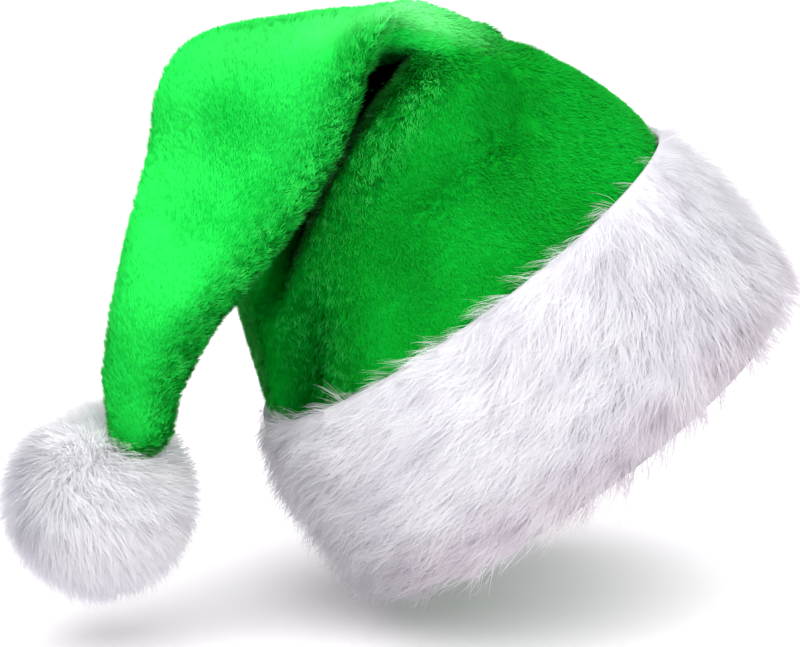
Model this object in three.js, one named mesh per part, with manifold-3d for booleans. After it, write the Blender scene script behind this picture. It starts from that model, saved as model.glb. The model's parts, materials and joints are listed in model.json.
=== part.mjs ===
import * as THREE from 'three';
import { mergeVertices } from 'three/addons/utils/BufferGeometryUtils.js';
import Module from 'manifold-3d';

// Santa hat in millimetres, in the form it has on a head. X runs towards the raised front
// of the head opening, Y away from the viewer and Z up. The origin is the centre of the
// head opening. The plush is one hollow cone of cloth: crown, fold and hanging tail.

// Head opening and cloth
const headLength = 194; // opening, front to back
const headBreadth = 160; // opening, side to side
const plushThickness = 3; // backing and pile together
const leafThickness = 3; // cuff cloth turned up inside
const fitGap = 0.3; // between neighbouring pieces
const wearTilt = degrees(36.5); // of the head opening about the side axis

// Crown and fold
const crownHeight = 118.7; // from the middle of the seam up to the ridge
const seamTaper = 2.5; // taken off each side between the rim and the seam
const ridgeWidth = 116; // the folded cloth along the ridge
const foldThickness = 24; // the flattened tube of cloth where it bends
const foldHollow = 6; // radius of the tunnel under the fold
const ridgeTurn = degrees(22); // the ridge's right end comes towards the viewer
const ridgeRise = degrees(14); // and lies higher than its left end
const tunnelBack = 0.335; // tunnel's way left of the seam's middle, of the head's length
const tunnelFront = 0.147; // and towards the viewer, of the head's breadth

// Tail
const tailDrop = 145.7; // from the tunnel down to the tip
const tailSwing = 70.5; // from the tunnel to the left
const tailDepth = 44; // its thickest section, front to back
const tipFront = 0.42; // the tip's way towards the viewer, of the head's breadth
const tailLeaning = degrees(16); // of the tip to the left
const tailTurn = degrees(12); // of the flattened tail towards the viewer
const tailSlope = degrees(17); // of the flattened tail's width, down to the right

// Fur
const cuffHeight = 84;
const furDepth = 10; // the cuff's body over the plush
const rootDepth = 1; // the locks start this far inside the body's back face
const leafHeight = 42; // of the cloth turned up inside
const lockLength = 36; // cuff locks
const lockWidth = 24;
const lockThickness = 7;
const lockSides = 4;
const pompomDiameter = 81; // over the tips of its locks
const pompomLock = 16; // length of its locks
const pompomShow = 0.7; // share of their length that stands out of the core
const pompomLocks = 40;
const pompomSink = 2; // the locks' roots in the pompom's core
const pompomLockWidth = 21.5;
const pompomLockThickness = 9;
const tipSeat = 11; // the tail's tip sinks into the pompom

// Ways the fur lies, as shares of a unit step
const furSweep = { backAtFront: 0.2, downAtBack: 0.45 }; // the cuff's fur turns on its way back
const pompomSwirl = { out: 0.9, round: 0.45, down: 0.8 }; // the pompom's locks out of its core
const pompomSide = { left: 0.52, back: 0.5, down: 0.8 }; // from the tip to the pompom's centre

// The cloth's stations from the rim, 0, to the tail's tip
const clothStops = { seam: 1, foldStart: 2, foldEnd: 3, tip: 4 };

// Crown sections from seam to fold. Columns wide and deep say how far the half sizes are on
// the way from the flattened fold (0) to the seam's oval (1), square is the oval's exponent
// and slide moves the section across, as a share of the ridge's width.
const crownSections = [
  { at: 1, wide: 1, deep: 1, square: 2, slide: 0 },
  { at: 1.35, wide: 0.8, deep: 0.72, square: 2, slide: 0.09 },
  { at: 1.65, wide: 0.62, deep: 0.42, square: 2.1, slide: 0.16 },
  { at: 1.85, wide: 0.39, deep: 0.2, square: 2.6, slide: 0.19 },
  { at: 2, wide: 0.06, deep: 0, square: 4, slide: 0.16 },
];

// Fold and tail sections. Columns wide and deep are shares of half the ridge's width and
// half the tail's depth.
const tailSections = [
  { at: 2, wide: 1.05, deep: 0.545, square: 4, slide: 0.16 },
  { at: 2.5, wide: 0.9, deep: 0.545, square: 4, slide: 0.03 },
  { at: 3, wide: 0.87, deep: 0.55, square: 3, slide: -0.1 },
  { at: 3.15, wide: 0.81, deep: 0.55, square: 2.6, slide: -0.165 },
  { at: 3.29, wide: 0.72, deep: 0.66, square: 2.3, slide: -0.185 },
  { at: 3.43, wide: 0.61, deep: 0.9, square: 2.1, slide: -0.17 },
  { at: 3.57, wide: 0.49, deep: 1, square: 2, slide: -0.14 },
  { at: 3.71, wide: 0.38, deep: 0.85, square: 2, slide: -0.1 },
  { at: 3.82, wide: 0.31, deep: 0.68, square: 2, slide: -0.06 },
  { at: 3.92, wide: 0.26, deep: 0.55, square: 2, slide: 0 },
  { at: 3.97, wide: 0.19, deep: 0.42, square: 2, slide: 0 },
  { at: 4, wide: 0.07, deep: 0.16, square: 2, slide: 0 },
];

// Folds and dents of the plush. Each runs from one station and angle round the cloth to
// another; reach (stations) and spread (degrees) are how far it fades out to its sides, and
// depth, below 0 for a valley, is a share of the fold's thickness.
const clothFolds = [
  { at: 2.5, round: 44, toAt: 2.28, toRound: 26, reach: 0.12, spread: 16, depth: -0.14 },
  { at: 2.04, round: 16, toAt: 1.94, toRound: 21, reach: 0.07, spread: 16, depth: 0.17 },
  { at: 1.82, round: 316, toAt: 1.56, toRound: 306, reach: 0.08, spread: 9, depth: -0.3 },
  { at: 1.56, round: 290, toAt: 1.5, toRound: 282, reach: 0.08, spread: 9, depth: -0.24 },
  { at: 1.82, round: 308, toAt: 1.66, toRound: 298, reach: 0.1, spread: 9, depth: 0.12 },
  { at: 1.84, round: 246, toAt: 1.6, toRound: 238, reach: 0.09, spread: 14, depth: -0.2 },
  { at: 1.26, round: 233, toAt: 1.02, toRound: 216, reach: 0.1, spread: 7, depth: -0.2 },
  { at: 1.28, round: 219, toAt: 1.05, toRound: 205, reach: 0.1, spread: 7, depth: 0.12 },
  { at: 2.85, round: 58, toAt: 2.4, toRound: 75, reach: 0.2, spread: 16, depth: -0.12 },
  { at: 3.06, round: 92, toAt: 3.55, toRound: 75, reach: 0.12, spread: 22, depth: 0.14 },
];

// The slit beside the tail and the lip at its right, which bend: a row for each turn
const slitWidth = { reach: 0.07, spread: 9.5 };
const slitPath = [
  { at: 2.05, round: 281, depth: -0.35 },
  { at: 1.97, round: 278, depth: -0.75 },
  { at: 1.9, round: 273, depth: -0.8 },
  { at: 1.82, round: 269, depth: -0.8 },
  { at: 1.74, round: 264, depth: -0.75 },
  { at: 1.64, round: 255, depth: -0.65 },
  { at: 1.52, round: 244, depth: -0.45 },
  { at: 1.38, round: 227, depth: -0.3 },
];
const lipWidth = { reach: 0.13, spread: 12 };
const lipPath = [
  { at: 2.4, round: 314, depth: 0.1 },
  { at: 2.15, round: 305, depth: 0.2 },
  { at: 2.02, round: 299, depth: 0.32 },
  { at: 1.93, round: 292, depth: 0.4 },
  { at: 1.85, round: 286, depth: 0.4 },
  { at: 1.76, round: 279, depth: 0.28 },
  { at: 1.66, round: 271, depth: 0.12 },
];

// The cuff's fur body: height as a share of the cuff's, depth as a share of the fur's
const cuffBody = [
  { height: 1.05, depth: 0.3 },
  { height: 0.95, depth: 0.68 },
  { height: 0.78, depth: 0.94 },
  { height: 0.5, depth: 1 },
  { height: 0.24, depth: 0.94 },
  { height: 0.06, depth: 0.7 },
  { height: -0.04, depth: 0.1 },
];

// Rows of locks on the cuff: height, how many go round and length
const cuffLockRows = [
  { height: 0.93, locks: 19, length: 0.85 },
  { height: 0.68, locks: 19, length: 1 },
  { height: 0.42, locks: 19, length: 1 },
  { height: 0.18, locks: 18, length: 0.6 },
];
const cuffDepth = cuffBody.map(({ height, depth }) => ({ at: height, depth })).reverse();

const plushStations = [
  0, 1, 1.12, 1.24, 1.36, 1.48, 1.58, 1.66, 1.73, 1.79, 1.84, 1.89, 1.94, 1.99, 2.04, 2.12,
  2.23, 2.36, 2.49, 2.62, 2.75, 2.88, 3, 3.08, 3.17, 3.27, 3.37, 3.47, 3.57, 3.67, 3.77, 3.86,
  3.93, 3.975, 4,
];
const pocketEnd = plushStations.at(-3); // the hollow inside the tail ends here
const socketStart = plushStations.at(-5); // the pompom's socket is cut from here on
const seamFade = 0.1; // stations above the seam over which the folds fade out
const bendReach = 0.36; // of a bend's length, how far each end runs straight on
const clothColumns = 34;
const columnCrowding = -0.4; // columns stand closer beside the slit than at the back

const plushGreen = new THREE.MeshStandardMaterial({ color: 0x14c832, roughness: 0.9, metalness: 0 });
const furWhite = new THREE.MeshStandardMaterial({ color: 0xf2f0f5, roughness: 0.95, metalness: 0 });

const wasm = await Module();
wasm.setup();

function degrees(angle) {
  return angle * Math.PI / 180;
}

// Axes of the worn hat, of the ridge and of the hanging tail
const crownAxis = new THREE.Vector3(-Math.sin(wearTilt), 0, Math.cos(wearTilt));
const frontAxis = new THREE.Vector3(Math.cos(wearTilt), 0, Math.sin(wearTilt));
const ridgeAxis = new THREE.Vector3(
  Math.cos(ridgeTurn) * Math.cos(ridgeRise),
  -Math.sin(ridgeTurn) * Math.cos(ridgeRise),
  Math.sin(ridgeRise),
);
const foldFront = new THREE.Vector3(-Math.sin(ridgeTurn), -Math.cos(ridgeTurn), 0);
const foldUp = new THREE.Vector3().crossVectors(foldFront, ridgeAxis);
const tailAxis = new THREE.Vector3(-Math.sin(tailLeaning), 0, -Math.cos(tailLeaning));
const tailWide = new THREE.Vector3(
  Math.cos(tailTurn) * Math.cos(tailSlope),
  -Math.sin(tailTurn) * Math.cos(tailSlope),
  -Math.sin(tailSlope),
);

const rimHalfLength = headLength / 2 + leafThickness + fitGap + plushThickness;
const rimHalfBreadth = headBreadth / 2 + leafThickness + fitGap + plushThickness;
const rimStation = (leafThickness + fitGap) / cuffHeight;
const seamCentre = crownAxis.clone().multiplyScalar(cuffHeight);
const foldRadius = foldHollow + foldThickness / 2; // to the middle of the folded tube
const tunnel = new THREE.Vector3(
  seamCentre.x - headLength * tunnelBack,
  -headBreadth * tunnelFront,
  seamCentre.z + crownHeight - foldHollow - foldThickness,
);
const tipCentre = new THREE.Vector3(
  tunnel.x - tailSwing,
  -headBreadth * tipFront,
  tunnel.z - tailDrop,
);
const pompomWay = new THREE.Vector3(-pompomSide.left, pompomSide.back, -pompomSide.down).normalize();
const pompomCentre = along(tipCentre, pompomWay, pompomDiameter / 2 - tipSeat);

function mix(a, b, share) {
  return a + (b - a) * share;
}

function mixVectors(a, b, share) {
  return new THREE.Vector3().lerpVectors(a, b, share).normalize();
}

function along(start, axis, distance) {
  return start.clone().addScaledVector(axis, distance);
}

function angleOf(column, columns) {
  return 2 * Math.PI * column / columns;
}

// One column of a table, as a smooth curve through its rows
function readColumn(rows, name, at) {
  const end = rows.length - 1;
  let i = 0;
  while (i < end - 1 && at > rows[i + 1].at) i += 1;
  const slope = (k) => {
    const low = rows[Math.max(k - 1, 0)];
    const high = rows[Math.min(k + 1, end)];
    return (high[name] - low[name]) / (high.at - low.at);
  };
  const span = rows[i + 1].at - rows[i].at;
  const t = THREE.MathUtils.clamp((at - rows[i].at) / span, 0, 1);
  const ease = t * t * (3 - 2 * t);
  const bow = span * t * (1 - t) * ((1 - t) * slope(i) - t * slope(i + 1));
  return mix(rows[i][name], rows[i + 1][name], ease) + bow;
}

// A curve that leaves start along one axis and reaches end along another
function bend(start, startAxis, end, endAxis, share) {
  const reach = start.distanceTo(end) * bendReach;
  const leave = along(start, startAxis, reach);
  const arrive = along(end, endAxis, -reach);
  return new THREE.CubicBezierCurve3(start, leave, arrive, end).getPoint(share);
}

// Middle of the folded tube at an angle round the tunnel, 0 behind it and 180 in front
function foldCentre(angle) {
  const outward = foldFront.clone().multiplyScalar(-Math.cos(angle));
  outward.addScaledVector(foldUp, Math.sin(angle));
  return along(tunnel, outward, foldRadius);
}

// Centre, cross axes and half sizes of the cloth tube's outside at a station
function clothSection(at) {
  const seamHalfLength = rimHalfLength - seamTaper;
  const seamHalfBreadth = rimHalfBreadth - seamTaper;
  if (at <= clothStops.seam) {
    return {
      centre: crownAxis.clone().multiplyScalar(at * cuffHeight),
      normal: crownAxis,
      wideAxis: frontAxis,
      wide: mix(rimHalfLength, seamHalfLength, at),
      deep: mix(rimHalfBreadth, seamHalfBreadth, at),
      square: 2,
      slide: 0,
    };
  }
  if (at <= clothStops.foldStart) {
    const share = at - clothStops.seam;
    return {
      centre: bend(seamCentre, crownAxis, foldCentre(0), foldUp, share),
      normal: mixVectors(crownAxis, foldUp, share),
      wideAxis: mixVectors(frontAxis, ridgeAxis, share),
      wide: mix(ridgeWidth / 2, seamHalfLength, readColumn(crownSections, 'wide', at)),
      deep: mix(foldThickness / 2, seamHalfBreadth, readColumn(crownSections, 'deep', at)),
      square: readColumn(crownSections, 'square', at),
      slide: ridgeWidth * readColumn(crownSections, 'slide', at),
    };
  }
  const section = {
    wide: ridgeWidth / 2 * readColumn(tailSections, 'wide', at),
    deep: tailDepth / 2 * readColumn(tailSections, 'deep', at),
    square: readColumn(tailSections, 'square', at),
    slide: ridgeWidth * readColumn(tailSections, 'slide', at),
  };
  if (at <= clothStops.foldEnd) {
    const angle = (at - clothStops.foldStart) * Math.PI;
    const normal = foldFront.clone().multiplyScalar(Math.sin(angle));
    normal.addScaledVector(foldUp, Math.cos(angle));
    return { centre: foldCentre(angle), normal, wideAxis: ridgeAxis, ...section };
  }
  const share = at - clothStops.foldEnd;
  const down = foldUp.clone().negate();
  return {
    centre: bend(foldCentre(Math.PI), down, tipCentre, tailAxis, share),
    normal: mixVectors(down, tailAxis, share),
    wideAxis: mixVectors(ridgeAxis, tailWide, share),
    ...section,
  };
}

// How far a fold moves the cloth out at a station and an angle: its depth at the nearest
// place on its path, less the further away that is
function reliefOf(path, { reach, spread }, at, angle) {
  const scaled = (row, station, round) => {
    const turn = THREE.MathUtils.euclideanModulo(round - row.round + 180, 360) - 180;
    return new THREE.Vector2((station - row.at) / reach, turn / spread);
  };
  let nearest = Infinity;
  let depth = 0;
  for (let i = 1; i < path.length; i += 1) {
    const [from, to] = [path[i - 1], path[i]];
    const run = scaled(from, to.at, to.round);
    const here = scaled(from, at, angle / degrees(1));
    const share = THREE.MathUtils.clamp(here.dot(run) / run.lengthSq(), 0, 1);
    const away = here.addScaledVector(run, -share).lengthSq();
    if (away < nearest) {
      nearest = away;
      depth = mix(from.depth, to.depth, share);
    }
  }
  return depth * foldThickness * Math.exp(-nearest);
}

// All the folds together. They fade out down to the seam, and the cloth in the cuff has none.
function foldRelief(at, angle) {
  let relief = reliefOf(slitPath, slitWidth, at, angle) + reliefOf(lipPath, lipWidth, at, angle);
  for (const fold of clothFolds) {
    const end = { at: fold.toAt, round: fold.toRound, depth: fold.depth };
    relief += reliefOf([fold, end], fold, at, angle);
  }
  return relief * THREE.MathUtils.smoothstep(at, clothStops.seam, clothStops.seam + seamFade);
}

// A point on the cloth at a station and an angle round it, moved out by an offset
function clothPoint(at, angle, offset) {
  const { centre, normal, wideAxis, wide, deep, square, slide } = clothSection(at);
  const wideWay = wideAxis.clone().addScaledVector(normal, -wideAxis.dot(normal)).normalize();
  const deepWay = new THREE.Vector3().crossVectors(normal, wideWay);
  const power = 2 / square;
  const c = Math.cos(angle);
  const s = Math.sin(angle);
  const across = Math.sign(c) * Math.abs(c) ** power * (wide + offset);
  const through = Math.sign(s) * Math.abs(s) ** power * (deep + offset);
  const point = along(along(centre, wideWay, across + slide), deepWay, through);
  const relief = foldRelief(at, angle);
  const outward = wideWay.clone().multiplyScalar(c / wide).addScaledVector(deepWay, s / deep).normalize();
  return along(point, outward, relief);
}

// Angles of the columns, which the crown and the cuff share
const columnAngles = Array.from({ length: clothColumns }, (_, j) => {
  const angle = angleOf(j, clothColumns);
  return angle + columnCrowding * Math.cos(angle);
});

function clothRing(at, offset) {
  return columnAngles.map((angle) => clothPoint(at, angle, offset));
}

// A closed skin over rings of points. A loop of rings joins its last ring to its first, and
// otherwise both ends are closed by a fan to a middle point, or to the tip that is given.
function loft(rings, { loop = false, tip = null } = {}) {
  const columns = rings[0].length;
  const points = rings.flat();
  const index = [];
  const bands = loop ? rings.length : rings.length - 1;
  for (let i = 0; i < bands; i += 1) {
    const here = i * columns;
    const next = (i + 1) % rings.length * columns;
    for (let j = 0; j < columns; j += 1) {
      const k = (j + 1) % columns;
      index.push(here + j, here + k, next + k, here + j, next + k, next + j);
    }
  }
  const fan = (first, centre, flip) => {
    for (let j = 0; j < columns; j += 1) {
      const edge = [first + j, first + (j + 1) % columns];
      index.push(...(flip ? edge.reverse() : edge), points.length);
    }
    points.push(centre);
  };
  if (!loop) {
    fan(0, middleOf(rings[0]), true);
    fan((rings.length - 1) * columns, tip ?? middleOf(rings[rings.length - 1]), false);
  }
  const geometry = new THREE.BufferGeometry().setFromPoints(points);
  geometry.setIndex(index);
  return geometry;
}

function middleOf(ring) {
  const middle = new THREE.Vector3();
  ring.forEach((point) => middle.addScaledVector(point, 1 / ring.length));
  return middle;
}

function solidOf(geometry) {
  geometry.deleteAttribute('normal');
  geometry.deleteAttribute('uv');
  const merged = mergeVertices(geometry);
  return new wasm.Manifold(new wasm.Mesh({
    numProp: 3,
    vertProperties: merged.attributes.position.array,
    triVerts: new Uint32Array(merged.index.array),
  }));
}

function geometryOf(solid) {
  const mesh = solid.getMesh();
  const geometry = new THREE.BufferGeometry();
  geometry.setAttribute('position', new THREE.BufferAttribute(mesh.vertProperties, 3));
  geometry.setIndex(new THREE.BufferAttribute(mesh.triVerts, 1));
  return geometry;
}

// A repeatable number from 0 to 1 for each seed
function scatter(seed) {
  const wave = Math.sin(seed * 12.9898) * 43758.5453;
  return wave - Math.floor(wave);
}

// A lock of fur: a flat tapered horn that leaves its root, lies over along the flow and
// ends in a point
function makeLock({ root, outward, flow, length, width, thickness }) {
  const side = new THREE.Vector3().crossVectors(outward, flow).normalize();
  const steps = [
    { share: 0, wide: 0.7, thick: 0.8, rise: -1 },
    { share: 0.3, wide: 1, thick: 1, rise: -0.1 },
    { share: 0.68, wide: 0.72, thick: 0.62, rise: 0.15 },
  ];
  const rings = steps.map(({ share, wide, thick, rise }) => {
    const centre = along(along(root, flow, length * share), outward, thickness * rise);
    return Array.from({ length: lockSides }, (_, k) => {
      const angle = angleOf(k, lockSides);
      const across = along(centre, side, Math.cos(angle) * width / 2 * wide);
      return along(across, outward, Math.sin(angle) * thickness / 2 * thick);
    });
  });
  const tip = along(root, flow, length);
  return solidOf(loft(rings, { tip }));
}

// Crown: down inside the hollow from the tail's pocket to the rim, then outside to the tip
function makeCrown() {
  const stations = plushStations.map((at) => Math.max(at, rimStation));
  const inside = stations.filter((at) => at <= pocketEnd).map((at) => clothRing(at, -plushThickness));
  const outside = stations.map((at) => clothRing(at, 0));
  return loft([...inside.reverse(), ...outside]);
}

// The cuff's closed profile at one angle round the head, as points in order
function cuffProfile(angle) {
  const leafFace = -plushThickness - fitGap;
  const headFace = leafFace - leafThickness;
  const point = (height, offset) => clothPoint(height / cuffHeight, angle, offset);
  return [
    point(cuffHeight, fitGap),
    ...cuffBody.map((row) => point(row.height * cuffHeight, fitGap + row.depth * furDepth)),
    point(0, headFace),
    point(leafHeight, headFace),
    point(leafHeight, leafFace),
    point(leafThickness, leafFace),
    point(leafThickness, fitGap),
  ];
}

function makeCuffBody() {
  return loft(columnAngles.map(cuffProfile), { loop: true });
}

// The fur sweeps down and to the low back of the hat. Where that points out of the cuff, at
// its back end, the fur turns down along the cuff instead.
function cuffFlow(point, outward) {
  const toBack = THREE.MathUtils.clamp(0.5 - point.dot(frontAxis) / headLength, 0, 1);
  const back = mix(furSweep.backAtFront, 1, toBack);
  const down = mix(1, furSweep.downAtBack, toBack);
  const sweep = new THREE.Vector3(-back, 0, -down).normalize();
  sweep.addScaledVector(outward, -sweep.dot(outward));
  sweep.addScaledVector(crownAxis, sweep.length() - 1);
  return sweep.addScaledVector(outward, -sweep.dot(outward)).normalize();
}

function makeCuff() {
  const plugStations = [-0.6, 0, 0.5, 1, 1.12, 1.24];
  const plug = solidOf(loft(plugStations.map((at) => clothRing(at, fitGap + rootDepth))));
  const locks = [];
  cuffLockRows.forEach((row, i) => {
    for (let j = 0; j < row.locks; j += 1) {
      const seed = 40 * i + j;
      const angle = angleOf(j + 0.5 * (i % 2) + 0.4 * scatter(seed), row.locks);
      const height = row.height + 0.05 * (scatter(seed + 0.3) - 0.5);
      const depth = fitGap + furDepth * readColumn(cuffDepth, 'depth', height);
      const root = clothPoint(height, angle, depth);
      const outward = root.clone().sub(crownAxis.clone().multiplyScalar(height * cuffHeight)).normalize();
      locks.push(makeLock({
        root,
        outward,
        flow: cuffFlow(root, outward),
        length: lockLength * row.length * mix(0.85, 1.1, scatter(seed + 0.6)),
        width: lockWidth,
        thickness: lockThickness,
      }));
    }
  });
  const fur = locks.reduce((joined, lock) => joined.add(lock)).subtract(plug);
  return geometryOf(fur.add(solidOf(makeCuffBody())));
}

// Pompom: a core with locks that turn out and down, and a socket for the tail's tip
function makePompom() {
  const coreRadius = pompomDiameter / 2 - pompomLock * pompomShow;
  const core = new THREE.IcosahedronGeometry(coreRadius, 2).translate(...pompomCentre.toArray());
  let fur = solidOf(core);
  const turn = Math.PI * (3 - Math.sqrt(5));
  for (let i = 0; i < pompomLocks; i += 1) {
    const height = 1 - 2 * (i + 0.5) / pompomLocks;
    const ring = Math.sqrt(1 - height * height);
    const outward = new THREE.Vector3(ring * Math.cos(turn * i), ring * Math.sin(turn * i), height);
    const swirl = new THREE.Vector3(-outward.y, outward.x, -pompomSwirl.down);
    const flow = outward.clone().multiplyScalar(pompomSwirl.out);
    flow.addScaledVector(swirl, pompomSwirl.round).normalize();
    fur = fur.add(makeLock({
      root: along(pompomCentre, outward, coreRadius - pompomSink),
      outward: outward.clone().addScaledVector(flow, -outward.dot(flow)).normalize(),
      flow,
      length: pompomLock * mix(0.9, 1.1, scatter(i)),
      width: pompomLockWidth,
      thickness: pompomLockThickness,
    }));
  }
  const socket = plushStations.filter((at) => at >= socketStart).map((at) => clothRing(at, fitGap));
  const seat = along(clothSection(clothStops.tip).centre, tailAxis, fitGap);
  return geometryOf(fur.subtract(solidOf(loft(socket, { tip: seat }))));
}

const hat = new THREE.Group();

function addPiece(name, geometry, material) {
  const mesh = new THREE.Mesh(geometry, material);
  mesh.name = name;
  hat.add(mesh);
}

addPiece('crown', makeCrown(), plushGreen);
addPiece('fur_cuff', makeCuff(), furWhite);
addPiece('pompom', makePompom(), furWhite.clone());

export default hat;
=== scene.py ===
import json
import math

import bpy
import numpy as np
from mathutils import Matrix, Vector

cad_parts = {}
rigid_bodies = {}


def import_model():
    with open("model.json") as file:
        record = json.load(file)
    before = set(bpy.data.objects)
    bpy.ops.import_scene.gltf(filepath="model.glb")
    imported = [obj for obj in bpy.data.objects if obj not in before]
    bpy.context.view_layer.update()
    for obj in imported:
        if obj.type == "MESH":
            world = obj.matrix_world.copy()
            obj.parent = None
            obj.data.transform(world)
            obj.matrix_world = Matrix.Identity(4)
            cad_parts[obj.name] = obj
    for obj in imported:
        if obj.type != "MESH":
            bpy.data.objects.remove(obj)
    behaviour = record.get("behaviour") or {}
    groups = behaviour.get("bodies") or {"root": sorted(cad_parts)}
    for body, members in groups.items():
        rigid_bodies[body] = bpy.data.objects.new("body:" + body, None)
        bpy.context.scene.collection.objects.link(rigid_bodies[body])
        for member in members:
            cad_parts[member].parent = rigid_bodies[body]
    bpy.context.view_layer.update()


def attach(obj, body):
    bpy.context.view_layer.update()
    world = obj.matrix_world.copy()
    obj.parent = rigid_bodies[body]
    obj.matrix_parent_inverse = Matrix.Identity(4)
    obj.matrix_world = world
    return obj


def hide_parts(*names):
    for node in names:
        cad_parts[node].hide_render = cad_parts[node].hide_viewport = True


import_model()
print("frame loaded")


def unit(v):
    return v / np.linalg.norm(v, axis=-1, keepdims=True)


def smooth(x, low=0.0, high=1.0):
    t = np.clip((x - low) / (high - low), 0, 1)
    return t * t * (3 - 2 * t)


def hidden(obj):
    bpy.context.scene.collection.objects.unlink(obj)
    return obj


def makeObject(name, points, faces, material=None):
    mesh = bpy.data.meshes.new(name)
    mesh.from_pydata([tuple(map(float, p)) for p in points], [], faces)
    mesh.polygons.foreach_set("use_smooth", [True] * len(mesh.polygons))
    mesh.update()
    obj = bpy.data.objects.new(name, mesh)
    bpy.context.scene.collection.objects.link(obj)
    if material:
        mesh.materials.append(material)
    return obj


def store(obj, name, values):
    # one number or one vector for each vertex
    values = np.asarray(values, np.float32)
    kind = "FLOAT" if values.ndim == 1 else "FLOAT_VECTOR"
    layer = obj.data.attributes.new(name, kind, "POINT")
    layer.data.foreach_set("value" if values.ndim == 1 else "vector", values.ravel())


# ---------- shader and geometry node wiring


class Wire:
    # a node's socket that takes part in Python arithmetic
    def __init__(self, tree, socket=None):
        self.tree = tree
        self.socket = socket

    def node(self, kind, settings=None, values=None, output=0):
        made = self.tree.nodes.new(kind)
        for key, value in (settings or {}).items():
            if key == "stops":
                ramp = made.color_ramp
                while len(ramp.elements) < len(value):
                    ramp.elements.new(0.5)
                for element, (place, colour) in zip(ramp.elements, value):
                    element.position = place
                    element.color = (*colour, 1)
            else:
                setattr(made, key, value)
        for key, value in (values or {}).items():
            if isinstance(value, Wire):
                self.tree.links.new(value.socket, made.inputs[key])
            else:
                made.inputs[key].default_value = value
        return Wire(self.tree, made.outputs[output] if made.outputs else None)

    def out(self, name):
        return Wire(self.tree, self.socket.node.outputs[name])

    def sum(self, operation, first, second):
        return self.node("ShaderNodeMath", {"operation": operation}, {0: first, 1: second})

    def __add__(self, other):
        return self.sum("ADD", self, other)

    def __radd__(self, other):
        return self.sum("ADD", other, self)

    def __sub__(self, other):
        return self.sum("SUBTRACT", self, other)

    def __rsub__(self, other):
        return self.sum("SUBTRACT", other, self)

    def __mul__(self, other):
        return self.sum("MULTIPLY", self, other)

    def __rmul__(self, other):
        return self.sum("MULTIPLY", other, self)

    def blend(self, first, second):
        # mixes two colours by this value
        return self.node(
            "ShaderNodeMix",
            {"data_type": "RGBA"},
            {0: self, 6: first, 7: second},
            output=2,
        )

    def toward(self, low, high):
        return self.node(
            "ShaderNodeMapRange", {"clamp": True}, {0: self, 1: low, 2: high, 3: 0.0, 4: 1.0}
        )


def startMaterial(name):
    material = bpy.data.materials.new(name)
    material.use_nodes = True
    material.node_tree.nodes.clear()
    return material, Wire(material.node_tree)


def endMaterial(wire, shader):
    wire.node("ShaderNodeOutputMaterial", values={"Surface": shader})


# ---------- the hat's form: one hollow cone of cloth from the rim to the tail's tip

hatForm = {
    "headLength": 0.194,
    "headBreadth": 0.160,
    "plushThickness": 0.003,
    "leafThickness": 0.003,
    "fitGap": 0.0003,
    "wearTilt": 36.5,
    "crownHeight": 0.1187,
    "seamTaper": 0.0025,
    "ridgeWidth": 0.116,
    "foldThickness": 0.024,
    "foldHollow": 0.006,
    "ridgeTurn": 22,
    "ridgeRise": 14,
    "tunnelBack": 0.335,
    "tunnelFront": 0.147,
    "tailDrop": 0.1457,
    "tailSwing": 0.0705,
    "tailDepth": 0.044,
    "tipFront": 0.42,
    "cuffHeight": 0.084,
    "furDepth": 0.010,
    "leafHeight": 0.042,
    "bendReach": 0.36,
    "columnCrowding": -0.4,
    "tailLeaning": 16,
    "tailTurn": 12,
    "tailSlope": 17,
}

# at, wide, deep, square, slide
crownSections = np.array([
    (1, 1, 1, 2, 0),
    (1.35, 0.80, 0.72, 2, 0.09),
    (1.65, 0.62, 0.42, 2.1, 0.16),
    (1.85, 0.39, 0.2, 2.6, 0.19),
    (2, 0.06, 0, 4, 0.16),
])
tailSections = np.array([
    (2, 1.05, 0.545, 4, 0.16),
    (2.5, 0.9, 0.545, 4, 0.03),
    (3, 0.87, 0.55, 3, -0.1),
    (3.15, 0.81, 0.55, 2.6, -0.165),
    (3.29, 0.72, 0.66, 2.3, -0.185),
    (3.43, 0.61, 0.9, 2.1, -0.17),
    (3.57, 0.49, 1, 2, -0.14),
    (3.71, 0.38, 0.85, 2, -0.1),
    (3.82, 0.31, 0.68, 2, -0.06),
    (3.92, 0.26, 0.55, 2, 0),
    (3.97, 0.19, 0.42, 2, 0),
    (4, 0.07, 0.16, 2, 0),
])

# folds and dents: station and angle of both ends, reach along and round, depth
clothFolds = [
    (2.5, 44, 2.28, 26, 0.12, 16, -0.14),
    (2.04, 16, 1.94, 21, 0.07, 16, 0.17),
    (1.82, 316, 1.56, 306, 0.08, 9, -0.3),
    (1.56, 290, 1.5, 282, 0.08, 9, -0.24),
    (1.82, 308, 1.66, 298, 0.1, 9, 0.12),
    (1.84, 246, 1.6, 238, 0.09, 14, -0.2),
    (1.26, 233, 1.02, 216, 0.1, 7, -0.2),
    (1.28, 219, 1.05, 205, 0.1, 7, 0.12),
    (2.85, 58, 2.4, 75, 0.2, 16, -0.12),
    (3.06, 92, 3.55, 75, 0.12, 22, 0.14),
    (2.56, 342, 2.78, 350, 0.08, 18, -0.18),
    (3.08, 350, 3.6, 349, 0.1, 26, -0.2),
]

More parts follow.
